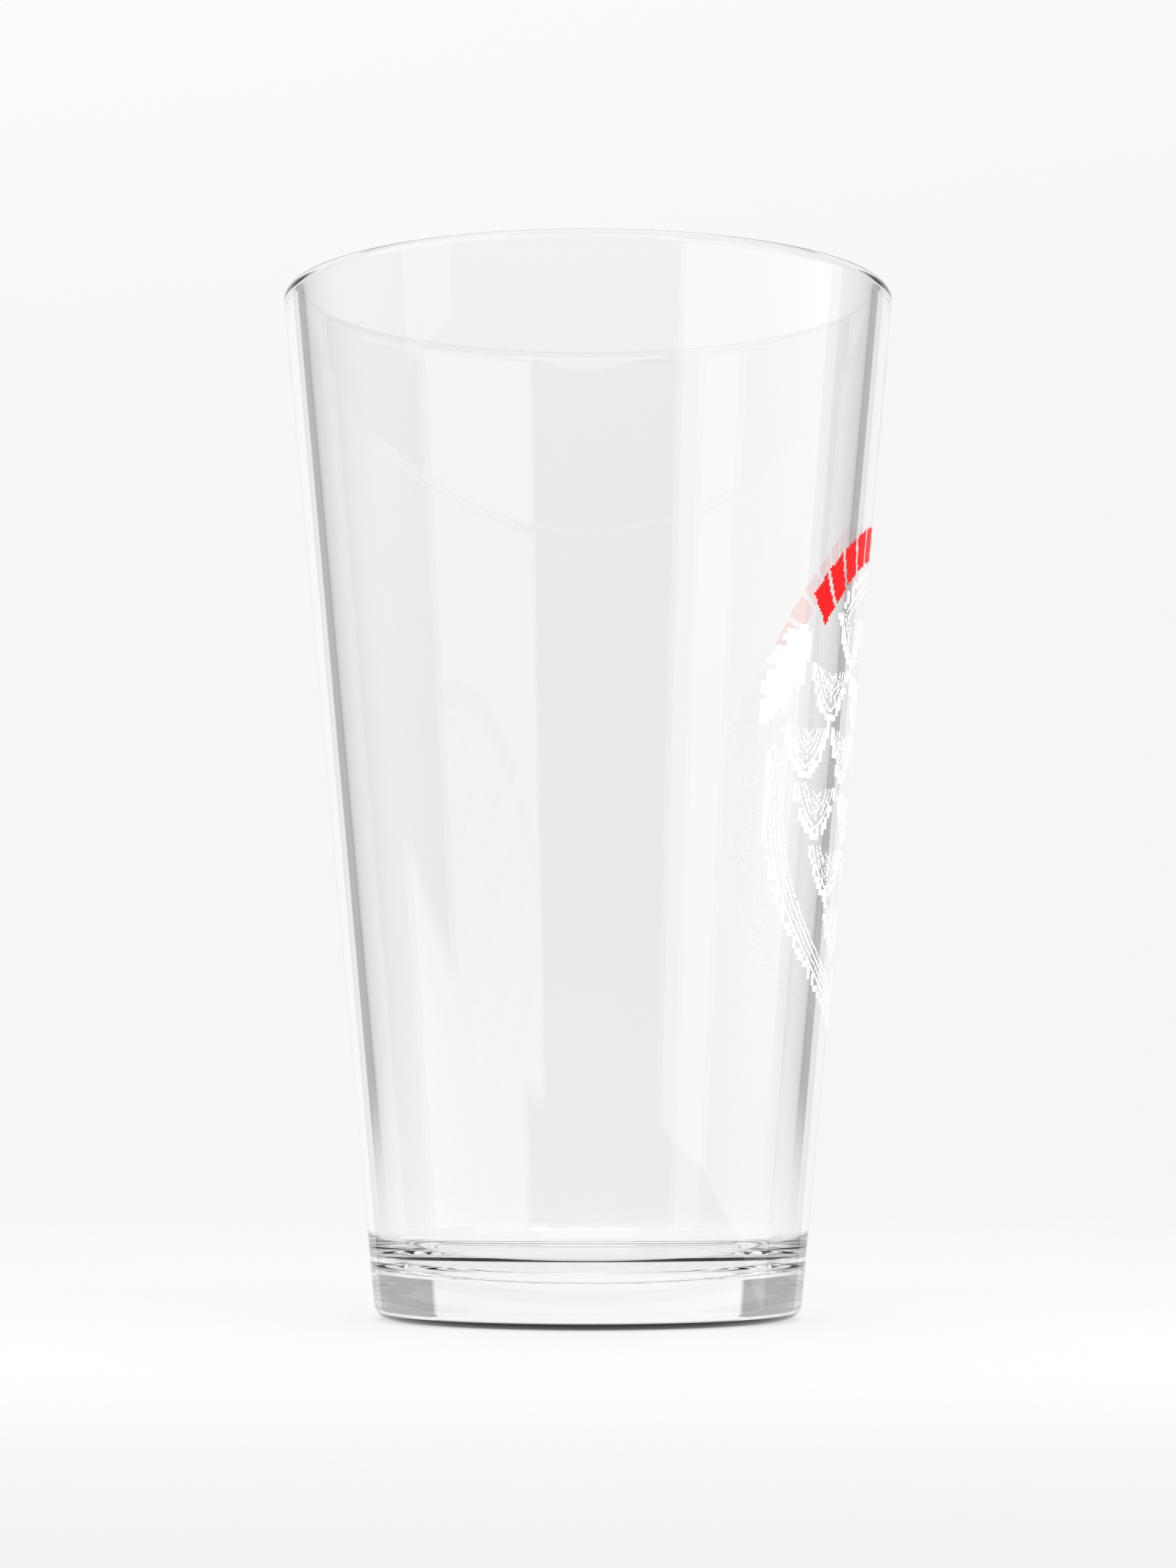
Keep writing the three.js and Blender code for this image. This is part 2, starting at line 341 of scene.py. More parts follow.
# %% [markdown]
# ## The clear glass
#
# The Principled shader makes glass when its transmission is 1. Real pressed
# glass is never perfectly even: the wall carries slow waves from the mould and
# from the flow of the hot glass, mostly up and down the wall. A stretched
# noise, used as a very shallow bump, bends the reflections by a hair and keeps
# them from looking computed. The waves stop short of the base and of the lip,
# whose curves would magnify them. A second, finer noise varies the polish.
#
# Under the rounded heel hardly any light gets in between glass and table, and
# on a real glass that gap shows as a thin black line. That shade is painted:
# the lowest millimetre of the heel is coloured black to give the same line.
#
# Light that has gone through glass should still reach the table. Tracing that
# is slow and noisy, so shadow rays alone are let through a thin grey filter.

# %% The clear glass material
GLASS_IOR = 1.52
POLISH_SIZE = 0.006
POLISH_ROUGHNESS = 0.012
WAVE_SIZE = 0.016
WAVE_STRETCH = (1, 1, 0.22)  # the waves run up and down the wall
WAVE_DEPTH = 0.009 * MM
WAVE_START = (14 * MM, 30 * MM)  # no waves in the base, full waves above
WAVE_END = (136 * MM, 144 * MM)  # and none in the fire-polished lip
CLEAR_TINT = (0.998, 0.999, 0.999, 1)
# painted shade: black on the lowest millimetre of the heel, between these heights and radii, stands in
# for the shade in the gap under the heel
HEEL_PAINTED_SHADE = (0.0, 0.0, 0.0, 1)
HEEL_SHADE_TOP = (0.95 * MM, 1.1 * MM)  # the dark line of the heel fades out here
HEEL_SHADE_INNER = (27.2 * MM, 27.9 * MM)
SHADOW_FILTER = (0.93, 0.94, 0.94, 1)


def make_clear_glass():
    material, tree, shader, output = new_material("clear_pressed_glass")
    shader.inputs["Transmission Weight"].default_value = 1.0
    shader.inputs["IOR"].default_value = GLASS_IOR
    polish = remap(tree, add_noise(tree, POLISH_SIZE), 0.0, POLISH_ROUGHNESS)
    tree.links.new(polish, shader.inputs["Roughness"])
    bump = tree.nodes.new("ShaderNodeBump")
    bump.inputs["Strength"].default_value = 1.0
    bump.inputs["Distance"].default_value = WAVE_DEPTH
    waves = add_noise(tree, WAVE_SIZE, WAVE_STRETCH, detail=1.0)
    position = tree.nodes.new("ShaderNodeTexCoord").outputs["Object"]
    height, radius = height_and_radius(tree, position)
    above_base = ramp(tree, height, WAVE_START, 0.0, 1.0)
    below_lip = ramp(tree, height, WAVE_END, 1.0, 0.0)
    wall_waves = maths(tree, "MULTIPLY", waves, maths(tree, "MULTIPLY", above_base, below_lip))
    tree.links.new(wall_waves, bump.inputs["Height"])
    # painted shade: the heel's lowest millimetre is coloured black, mixed with the glass's own faint
    # tint
    low = ramp(tree, height, HEEL_SHADE_TOP, 1.0, 0.0)
    outer = ramp(tree, radius, HEEL_SHADE_INNER, 0.0, 1.0)
    tint_and_heel_shade = tree.nodes.new("ShaderNodeMix")
    tint_and_heel_shade.data_type = "RGBA"
    tint_and_heel_shade.inputs["A"].default_value = CLEAR_TINT
    tint_and_heel_shade.inputs["B"].default_value = HEEL_PAINTED_SHADE
    tree.links.new(maths(tree, "MULTIPLY", low, outer), tint_and_heel_shade.inputs["Factor"])
    tree.links.new(tint_and_heel_shade.outputs["Result"], shader.inputs["Base Color"])
    tree.links.new(bump.outputs["Normal"], shader.inputs["Normal"])
    path = tree.nodes.new("ShaderNodeLightPath")
    filtered = tree.nodes.new("ShaderNodeBsdfTransparent")
    filtered.inputs["Color"].default_value = SHADOW_FILTER
    choose = tree.nodes.new("ShaderNodeMixShader")
    tree.links.new(path.outputs["Is Shadow Ray"], choose.inputs["Fac"])
    tree.links.new(shader.outputs["BSDF"], choose.inputs[1])
    tree.links.new(filtered.outputs["BSDF"], choose.inputs[2])
    tree.links.new(choose.outputs["Shader"], output.inputs["Surface"])
    return material


clear_glass = make_clear_glass()
pressed_glass.data.materials.append(clear_glass)
print("Glass bends light by", GLASS_IOR)

# %% [markdown]
# ## Laying ink on a cone
#
# The print is designed flat, with u across and v up, and then wrapped on the
# tapered wall. The artwork is drawn in small square cells, like embroidery on
# canvas, because the screen that printed it has such a coarse mesh. A shape is
# then only a set of cells, and the same few lines of code turn any set into a
# thin closed film.
#
# The film's underside lies a little inside the glass. Light in the wall then
# meets the ink without crossing air first, just as it does on a real print,
# and the colour reads as clean from behind as from the front.

# %% Print coordinates
PRINT_HEIGHT = 79.0 * MM
PRINT_RADIUS = 37.7 * MM
INK_TOP = 0.05 * MM
INK_UNDER = -0.02 * MM
BOLD_CELL = 0.84 * MM
SHAPE_CELL = 0.42 * MM
FINE_CELL = 0.26 * MM


def on_glass(u, v, lift):
    """The point of the print at (u, v), lifted square off the axis."""
    z = PRINT_HEIGHT + v
    radius = outer_radius(z) + lift
    return (radius * math.cos(u / PRINT_RADIUS), radius * math.sin(u / PRINT_RADIUS), z)


# %% [markdown]
# Two cells that meet only at a corner would share one edge of four walls, which
# is no longer the skin of a solid. So the cells are first sorted into groups
# that join along their sides. Each group gets corners of its own, and a group
# that bends back to touch itself has the gap filled.

# %% From cells to groups
def beside(cell):
    i, j = cell
    return [(i + 1, j), (i - 1, j), (i, j + 1), (i, j - 1)]


def joined_groups(cells):
    """Splits cells into groups that join along their sides."""
    left = set(cells)
    groups = []
    while left:
        group = set()
        waiting = [min(left)]
        while waiting:
            cell = waiting.pop()
            if cell in left:
                left.discard(cell)
                group.add(cell)
                waiting += beside(cell)
        groups.append(group)
    return groups


def fill_pinches(group):
    """Adds a cell wherever two cells of a group meet only at a corner."""
    while True:
        pinches = {
            (i + 1, j)
            for i, j in group
            for side in (1, -1)
            if (i + 1, j + side) in group and (i + 1, j) not in group and (i, j + side) not in group
        }
        if not pinches:
            return group
        group |= pinches


# %% [markdown]
# A film is built like a tray of tiles: a top and an underside for every cell,
# and a little wall along each side where the next cell is empty. A printed piece
# is one or more layers of cells, bold and fine, on the same wall. It is left out
# of mirror images, so that its double doesn't float inside the glass.

# %% From groups to a film
def add_film(film, group, cell):
    """Adds one joined group of cells to a bmesh as a closed film."""
    corners = {}

    def corner(i, j, lift):
        key = (i, j, lift)
        if key not in corners:
            corners[key] = film.verts.new(on_glass(i * cell, j * cell, lift))
        return corners[key]

    for i, j in sorted(group):
        rim = [(i, j), (i + 1, j), (i + 1, j + 1), (i, j + 1)]
        film.faces.new([corner(a, b, INK_TOP) for a, b in rim])
        film.faces.new([corner(a, b, INK_UNDER) for a, b in reversed(rim)])
        neighbours = [(i, j - 1), (i + 1, j), (i, j + 1), (i - 1, j)]
        for start, end, neighbour in zip(rim, rim[1:] + rim[:1], neighbours):
            if neighbour in group:
                continue
            low_edge = [corner(*start, INK_UNDER), corner(*end, INK_UNDER)]
            high_edge = [corner(*end, INK_TOP), corner(*start, INK_TOP)]
            film.faces.new(low_edge + high_edge)


def print_piece(name, node, layers, ink):
    """One printed piece from layers of (cells, cell size), standing for a CAD node."""
    film = bmesh.new()
    for cells, cell in layers:
        for group in joined_groups(cells):
            add_film(film, fill_pinches(group), cell)
    mesh = bpy.data.meshes.new(name)
    film.to_mesh(mesh)
    film.free()
    mesh.materials.append(ink)
    piece = bpy.data.objects.new(name, mesh)
    scene.collection.objects.link(piece)
    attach(piece, "root")
    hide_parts(node)
    piece.visible_glossy = False
    return piece


# %% [markdown]
# Two ways to choose cells cover the whole print. `fill` takes every cell whose
# middle lies inside a shape, and `trace` walks along a line and takes the cells
# that it crosses, which gives the stepped strokes of a coarse screen.

# %% Choosing cells
def fill(inside, low, high, cell):
    """Cells whose middles are inside a shape, within a box of (u, v) corners."""
    columns = range(math.floor(low[0] / cell), math.ceil(high[0] / cell))
    rows = range(math.floor(low[1] / cell), math.ceil(high[1] / cell))
    return {(i, j) for i in columns for j in rows if inside((i + 0.5) * cell, (j + 0.5) * cell)}


def trace(line, cell, length, gap=0):
    """Cells crossed by line(share), with every gap-th diagonal of cells left out."""
    steps = math.ceil(4 * length / cell)
    points = [line(k / steps) for k in range(steps + 1)]
    cells = {(math.floor(u / cell), math.floor(v / cell)) for u, v in points}
    return {(i, j) for i, j in cells if not gap or (i + 2 * j) % gap}


def speckle(seed, centre, reach, count, cell):
    """Scattered single cells and short runs of cells around a centre."""
    chance = random.Random(seed)
    cells = set()
    for _ in range(count):
        i = math.floor((centre[0] + chance.uniform(-reach[0], reach[0])) / cell)
        j = math.floor((centre[1] + chance.uniform(-reach[1], reach[1])) / cell)
        cells |= {(i, j + k) for k in range(chance.choice((1, 1, 2, 4)))}
    return cells


# %% [markdown]
# ## The two inks
#
# Printing ink on glass is opaque, lies almost flat, and has a low gloss. Under a
# lens it is not even: the screen leaves a slight orange peel, and the film is a
# little thinner and duller in places. Small noises in colour, roughness and
# height give it that life without changing the clean look from a distance.
#
# Ink on clear glass is lit from both sides, through the film and the wall. A
# little glow of the ink's own colour stands for the light from behind. Where
# the print wraps out of sight, its far half shows only faintly through two
# walls, so a ray that comes out of the glass mostly passes the ink by.

# %% Red and white ink
INK_GLOW = 0.3
INK_SHEEN = 0.08
SEEN_THROUGH = 0.87  # share of a ray from inside the glass that passes the ink by
DRIFT_SIZE = 0.0015
GLOSS_SIZE = 0.0008
GLOSS_SPREAD = 0.06
PEEL_SIZE = 0.0004
PEEL_STRENGTH = 0.35
PEEL_DEPTH = 0.02 * MM


def make_ink(name, thin, thick, roughness):
    """An opaque ink whose colour and gloss drift between two values."""
    material, tree, shader, output = new_material(name)
    shader.inputs["Specular IOR Level"].default_value = INK_SHEEN
    tone = tree.nodes.new("ShaderNodeMix")
    tone.data_type = "RGBA"
    tone.inputs["A"].default_value = thin
    tone.inputs["B"].default_value = thick
    drift = remap(tree, add_noise(tree, DRIFT_SIZE, detail=3.0), 0.0, 1.0)
    tree.links.new(drift, tone.inputs["Factor"])
    tree.links.new(tone.outputs["Result"], shader.inputs["Base Color"])
    tree.links.new(tone.outputs["Result"], shader.inputs["Emission Color"])
    shader.inputs["Emission Strength"].default_value = INK_GLOW
    gloss = remap(tree, add_noise(tree, GLOSS_SIZE), roughness - GLOSS_SPREAD, roughness + GLOSS_SPREAD)
    tree.links.new(gloss, shader.inputs["Roughness"])
    peel = tree.nodes.new("ShaderNodeBump")
    peel.inputs["Strength"].default_value = PEEL_STRENGTH
    peel.inputs["Distance"].default_value = PEEL_DEPTH
    tree.links.new(add_noise(tree, PEEL_SIZE), peel.inputs["Height"])
    tree.links.new(peel.outputs["Normal"], shader.inputs["Normal"])
    path = tree.nodes.new("ShaderNodeLightPath")
    share = tree.nodes.new("ShaderNodeMath")
    share.operation = "MULTIPLY"
    share.inputs[1].default_value = SEEN_THROUGH
    clear = tree.nodes.new("ShaderNodeBsdfTransparent")
    mixed = tree.nodes.new("ShaderNodeMixShader")
    tree.links.new(path.outputs["Is Transmission Ray"], share.inputs[0])
    tree.links.new(share.outputs["Value"], mixed.inputs["Fac"])
    tree.links.new(shader.outputs["BSDF"], mixed.inputs[1])
    tree.links.new(clear.outputs["BSDF"], mixed.inputs[2])
    tree.links.new(mixed.outputs["Shader"], output.inputs["Surface"])
    return material


red_ink = make_ink("red_screen_ink", (0.93, 0.006, 0.006, 1), (1.0, 0.012, 0.012, 1), 0.48)
white_ink = make_ink("white_screen_ink", (0.93, 0.93, 0.92, 1), (0.97, 0.97, 0.97, 1), 0.5)
print("Inks:", red_ink.name, "and", white_ink.name)

# %% [markdown]
# ## The red arc
#
# A row of plain slanted blocks bends over the artwork like the band of a badge.
# Each block is a slice of a ring that leans to one side, so the row has rhythm
# without saying anything.

# %% Red blocks
ARC_CENTRE_V = 3.4 * MM
ARC_INNER = 26.4 * MM
ARC_OUTER = 31.2 * MM
ARC_BLOCKS = 12
ARC_PITCH = math.radians(9.3)
ARC_BLOCK_SHARE = 0.8
ARC_LEAN = math.radians(3.0)
BLOCK_REACH = 5 * MM  # a block lies within this distance of its middle


def inside_block(centre):
    """A test for the leaning block whose middle is at an angle of the arc."""

    def test(u, v):
        height = (math.hypot(u, v - ARC_CENTRE_V) - ARC_INNER) / (ARC_OUTER - ARC_INNER)
        lean = ARC_LEAN * (height - 0.5)
        across = (math.atan2(u, v - ARC_CENTRE_V) - centre - lean) / (ARC_PITCH * ARC_BLOCK_SHARE / 2)
        return 0 < height < 1 and abs(across) < 1

    return test


for block in range(ARC_BLOCKS):
    turn = (block - (ARC_BLOCKS - 1) / 2) * ARC_PITCH
    ring = (ARC_INNER + ARC_OUTER) / 2
    middle = (ring * math.sin(turn), ARC_CENTRE_V + ring * math.cos(turn))
    low = [c - BLOCK_REACH for c in middle]
    high = [c + BLOCK_REACH for c in middle]
    layers = [(fill(inside_block(turn), low, high, SHAPE_CELL), SHAPE_CELL)]
    number = f"{block + 1:02d}"
    print_piece(f"printed_block_{number}", f"red_arc_block_{number}", layers, red_ink)
print(ARC_BLOCKS, "red blocks printed")

# %% [markdown]
# ## The hop cone
#
# Under the arc hangs a hop cone, the flower that gives beer its bitterness. A
# cone is a stack of pointed scales called bracts. Each is drawn as a bold
# stepped line with three finer lines inside it and a few speckles, like an old
# woodcut, and most have a dotted rib. The rows stand in
# bands of their own height. A few more lines bend over the top row, on the same
# centre as the red arc, and leave room for the stem.

# %% Bracts and ribs
CONE_ROWS = (
    # bracts, half width of the row, whether its bracts have ribs
    (1, 6.5 * MM, False),
    (2, 15.5 * MM, True),
    (3, 22.5 * MM, True),
    (4, 27.5 * MM, True),
    (5, 30.5 * MM, True),
    (4, 25.0 * MM, True),
    (3, 18.5 * MM, False),
)
CONE_TIP_V = -36.0 * MM
CONE_ROW_PITCH = 8.2 * MM
BRACT_GAP = 1.4 * MM
BRACT_RISE = 6.9 * MM
BRACT_BEND = 0.45  # share of the rise that is straight, the rest steepens
BOLD_GAP = 7
INNER_LINES = (
    # lift above the bold line, share of its width, open share in the middle, gap
    (1.3 * MM, 0.84, 0.0, 0),
    (2.5 * MM, 0.66, 0.34, 7),
    (3.6 * MM, 0.48, 0.5, 4),
)
RIB_LENGTH = 3.8 * MM
RIB_LIFT = 2.6 * MM
RIB_RHYTHM = 4  # three dots, then a pair of side veins
VEIN_STEPS = (2, 3, 4)
SPECKLES = 16
SPECKLE_SPREAD = (0.6, 2.2 * MM)  # share of the half width, and height
SPECKLE_LIFT = 0.62  # share of the rise
CROWN_LINES = (
    # radius, cell, gap
    (24.6 * MM, BOLD_CELL, 4),
    (23.2 * MM, FINE_CELL, 0),
    (22.2 * MM, FINE_CELL, 3),
)
CROWN_BEARINGS = (-29, 0, 29)  # degrees, one for each bract of the top row
CROWN_HALF_SPAN = 13
STEM_CLEARANCE = 3.4 * MM


def bract_line(tip_u, tip_v, half_width, rise, start=0.0):
    """One half of a bract as a line, from `start` out to its shoulder."""

    def line(share):
        side = math.copysign(start + (1 - start) * share, half_width)
        height = rise * (BRACT_BEND * abs(side) + (1 - BRACT_BEND) * abs(side) ** 3)
        return tip_u + side * abs(half_width), tip_v + height

    return line


def bract_layers(tip_u, tip_v, half, seed):
    """The bold line, the inner lines and the speckles of one bract."""
    bold, fine = set(), set()
    for side in (-1, 1):
        bold |= trace(bract_line(tip_u, tip_v, side * half, BRACT_RISE), BOLD_CELL, 2 * half, BOLD_GAP)
        for lift, share, start, gap in INNER_LINES:
            line = bract_line(tip_u, tip_v + lift, side * half * share, BRACT_RISE * share, start)
            fine |= trace(line, FINE_CELL, 2 * half, gap)
    spread = (half * SPECKLE_SPREAD[0], SPECKLE_SPREAD[1])
    fine |= speckle(seed, (tip_u, tip_v + BRACT_RISE * SPECKLE_LIFT), spread, SPECKLES, FINE_CELL)
    return [(bold, BOLD_CELL), (fine, FINE_CELL)]


def crown_layers(bearing):
    """Lines over the top row, on the same centre as the red arc, clear of the stem."""
    start = math.radians(bearing - CROWN_HALF_SPAN)
    span = math.radians(2 * CROWN_HALF_SPAN)
    layers = []
    for radius, cell, gap in CROWN_LINES:

        def line(share):
            turn = start + span * share
            return radius * math.sin(turn), ARC_CENTRE_V + radius * math.cos(turn)

        cells = trace(line, cell, radius * span, gap)
        layers.append(({(i, j) for i, j in cells if abs(i + 0.5) * cell > STEM_CLEARANCE}, cell))
    return layers


def rib_cells(tip_u, tip_v):
    """A dotted rib with a pair of side veins at each dot."""
    column = math.floor(tip_u / FINE_CELL)
    foot = math.floor((tip_v + RIB_LIFT) / FINE_CELL)
    rows = range(foot, foot + math.floor(RIB_LENGTH / FINE_CELL))
    last = RIB_RHYTHM - 1
    dots = {(column + a, j) for j in rows if j % RIB_RHYTHM < last for a in (0, 1)}
    feet = [j for j in rows if j % RIB_RHYTHM == 0]
    veins = {(column + side * k, j + k) for j in feet for side in (-1, 1) for k in VEIN_STEPS}
    return dots | veins


for row, (bracts, half_width, ribs) in enumerate(CONE_ROWS):
    pitch = 2 * half_width / bracts
    tip_v = CONE_TIP_V + row * CONE_ROW_PITCH
    for place in range(bracts):
        tip_u = (place - (bracts - 1) / 2) * pitch
        name = f"row{row + 1}_{place + 1}"
        layers = bract_layers(tip_u, tip_v, (pitch - BRACT_GAP) / 2, 10 * row + place)
        if row == len(CONE_ROWS) - 1:
            layers += crown_layers(CROWN_BEARINGS[place])
        print_piece(f"printed_bract_{name}", f"hop_bract_{name}", layers, white_ink)
        if ribs:
            dots = [(rib_cells(tip_u, tip_v), FINE_CELL)]
            print_piece(f"printed_rib_{name}", f"hop_rib_{name}", dots, white_ink)
print(sum(row[0] for row in CONE_ROWS), "bracts printed")

# %% [markdown]
# The cone is held together by a long line down each side. A quadratic curve
# through two ends, pulled outwards by a third point, is enough to shape it. Finer
# lines, some whole and some dotted, follow just inside.

# %% Outlines
OUTLINE_POINTS = ((31.8 * MM, 0.5 * MM), (37.0 * MM, -26.0 * MM), (3.5 * MM, -37.6 * MM))
OUTLINE_LENGTH = 60 * MM
OUTLINE_GAP = 4
INNER_OUTLINES = (
    # scale towards the middle of the print, gap
    (0.97, 0),
    (0.945, 3),
    (0.92, 0),
    (0.895, 5),
)


def outline_line(side, scale):
    """One side's outline, scaled towards the middle of the print."""

    def line(share):
        weights = ((1 - share) ** 2, 2 * share * (1 - share), share**2)
        u = sum(w * point[0] for w, point in zip(weights, OUTLINE_POINTS))
        v = sum(w * point[1] for w, point in zip(weights, OUTLINE_POINTS))
        return side * u * scale, v * scale

    return line


for side_name, side in (("left", -1), ("right", 1)):
    fine = set()
    for scale, gap in INNER_OUTLINES:
        fine |= trace(outline_line(side, scale), FINE_CELL, OUTLINE_LENGTH, gap)
    bold = trace(outline_line(side, 1), BOLD_CELL, OUTLINE_LENGTH, OUTLINE_GAP)
    layers = [(bold, BOLD_CELL), (fine, FINE_CELL)]
    print_piece(f"printed_outline_{side_name}", f"hop_outline_{side_name}", layers, white_ink)
print("Outlines printed")

# %% [markdown]
# Two solid leaves stand out at the cone's shoulders, and a short bent stem
# rises from its top. A leaf is a spindle whose half width is cut into teeth
# that point to its tip, so its edge bristles.

# %% Leaves and stem
LEAF_ROOT = (26.0 * MM, 17.5 * MM)
LEAF_TIP = (34.3 * MM, 3.2 * MM)
LEAF_HALF_WIDTH = 4.2 * MM
LEAF_TEETH = 4
LEAF_BODY = 0.55  # of the half width, the rest is the tooth
LEAF_BOX = ((22 * MM, 1 * MM), (40 * MM, 20 * MM))  # corners around the right leaf
STEM_FOOT_V = 21.5 * MM
STEM_LENGTH = 7.0 * MM
STEM_BEND = 2.2 * MM
STEM_WIDTH = 1.8 * MM
STEM_BOX = ((-3 * MM, 20 * MM), (6 * MM, 30 * MM))


def inside_leaf(side):
    """A test for the solid leaf on one side of the cone."""
    along = Vector(LEAF_TIP) - Vector(LEAF_ROOT)

    def test(u, v):
        place = Vector((side * u, v)) - Vector(LEAF_ROOT)
        share = place.dot(along) / along.length_squared
        if not 0 < share < 1:
            return False
        body = math.sin(math.pi * share**0.8) ** 0.7
        tooth = (share * LEAF_TEETH) % 1
        half = LEAF_HALF_WIDTH * body * (LEAF_BODY + (1 - LEAF_BODY) * tooth)
        return abs(along.normalized().cross(place)) < half

    return test


def inside_stem(u, v):
    share = (v - STEM_FOOT_V) / STEM_LENGTH
    return 0 < share < 1 and abs(u - STEM_BEND * share**2) < STEM_WIDTH / 2


for side_name, side in (("left", -1), ("right", 1)):
    ends = sorted(side * corner[0] for corner in LEAF_BOX)
    low = (ends[0], LEAF_BOX[0][1])
    high = (ends[1], LEAF_BOX[1][1])
    layers = [(fill(inside_leaf(side), low, high, BOLD_CELL), BOLD_CELL)]
    print_piece(f"printed_leaf_{side_name}", f"hop_leaf_{side_name}", layers, white_ink)

stem = fill(inside_stem, *STEM_BOX, SHAPE_CELL)
print_piece("printed_stem", "hop_stem", [(stem, SHAPE_CELL)], white_ink)
print("Leaves and stem printed")

# %% [markdown]
# ## The table
#
# The glass stands on a pale, matt table with no visible end: towards its edge
# the table fades out into the room. Its top is one large disc. The fade is a
# mix with a transparent shader, driven by the distance from the glass. Part of
# the table's light is a glow of its own, and a pool of painted light is added
# to it around the glass, dimmer towards the camera and just behind the glass.
# The glow keeps the floor pale and free of hard shadows.

# %% Table
TABLE_RADIUS = 2.4
TABLE_SIDES = 96
FADE_START = 0.06
FADE_END = 0.62
TABLE_TONE = (0.30, 0.30, 0.30, 1)
TABLE_TONE_HIGH = (0.31, 0.31, 0.31, 1)
TABLE_MOTTLE = 0.05  # size of the drift between the two tones
TABLE_ROUGHNESS = 0.9
TABLE_SHEEN = 0.1
TABLE_GLOW = 0.59
# painted light: a pool of extra glow around the glass, fading towards the camera and a little behind it
PAINTED_POOL_GAIN = 0.07  # extra glow in the pool of light around the glass
PAINTED_POOL_FRONT = (-0.33, -0.09)  # it dies away towards the camera
PAINTED_POOL_LOSS = -0.09
PAINTED_POOL_BACK = (-0.05, 0.08)  # and a little behind the glass
PAINTED_POOL_BACK_LOSS = 0.033
TABLE_DROP = 0.03 * MM  # below the glass, so their faces don't share a plane


def make_table_material():
    material, tree, shader, output = new_material("pale_matt_table")
    shader.inputs["Roughness"].default_value = TABLE_ROUGHNESS
    shader.inputs["Specular IOR Level"].default_value = TABLE_SHEEN
    tone = tree.nodes.new("ShaderNodeMix")
    tone.data_type = "RGBA"
    tone.inputs["A"].default_value = TABLE_TONE
    tone.inputs["B"].default_value = TABLE_TONE_HIGH
    shader.inputs["Emission Color"].default_value = (1, 1, 1, 1)
    tree.links.new(add_noise(tree, TABLE_MOTTLE), tone.inputs["Factor"])
    where = tree.nodes.new("ShaderNodeTexCoord")
    distance = tree.nodes.new("ShaderNodeVectorMath")
    distance.operation = "LENGTH"
    split = tree.nodes.new("ShaderNodeSeparateXYZ")
    tree.links.new(where.outputs["Object"], split.inputs["Vector"])
    # painted light: the glow is raised in a pool around the glass and lowered towards the camera and
    # behind it
    front = ramp(tree, split.outputs["Y"], PAINTED_POOL_FRONT, TABLE_GLOW + PAINTED_POOL_LOSS, TABLE_GLOW + PAINTED_POOL_GAIN)
    painted_pool_loss_behind = ramp(tree, split.outputs["Y"], PAINTED_POOL_BACK, 0.0, PAINTED_POOL_BACK_LOSS)
    glow_and_painted_pool = maths(tree, "SUBTRACT", front, painted_pool_loss_behind)
    tree.links.new(tone.outputs["Result"], shader.inputs["Base Color"])
    tree.links.new(glow_and_painted_pool, shader.inputs["Emission Strength"])
    fade = tree.nodes.new("ShaderNodeMapRange")
    fade.interpolation_type = "SMOOTHSTEP"
    fade.inputs["From Min"].default_value = FADE_START
    fade.inputs["From Max"].default_value = FADE_END
    clear = tree.nodes.new("ShaderNodeBsdfTransparent")
    mixed = tree.nodes.new("ShaderNodeMixShader")
    tree.links.new(where.outputs["Object"], distance.inputs[0])
    tree.links.new(distance.outputs["Value"], fade.inputs["Value"])
    tree.links.new(fade.outputs["Result"], mixed.inputs["Fac"])
    tree.links.new(shader.outputs["BSDF"], mixed.inputs[1])
    tree.links.new(clear.outputs["BSDF"], mixed.inputs[2])
    tree.links.new(mixed.outputs["Shader"], output.inputs["Surface"])
    return material


table_mesh = bpy.data.meshes.new("table_top")
table_top = bmesh.new()
bmesh.ops.create_circle(table_top, cap_ends=True, radius=TABLE_RADIUS, segments=TABLE_SIDES)
table_top.to_mesh(table_mesh)
table_top.free()
table_mesh.materials.append(make_table_material())
table = bpy.data.objects.new("table_top", table_mesh)
table.location.z = -TABLE_DROP
table.visible_glossy = False
scene.collection.objects.link(table)
print("Table fades out from", FADE_START, "to", FADE_END, "m")

# %% [markdown]
# ## The room
#
# Clear glass is drawn by its surroundings. Straight behind it the room is
# white, so the glass looks clear. From a third of a right angle to either side
# the room turns grey, and behind the camera it is darker still, and those
# greys draw the sides of the solid base. The world shader reads only the
# direction of a ray: its bearing from +Y and its height above the horizon.
#
# The Light Path node then tells rays apart. A camera ray always meets white, so
# that a camera that walks round the table finds no edge in the background. A
# ray that has crossed both walls has a transmission depth of four, and it finds
# a narrow dark edge beside the white, which draws the inside of the wall. A ray
# with a glossy depth has met a mirror, the inside of the wall, and finds the
# bright panels that stand round the table. They are added to the room, as the
# light of a lamp is.

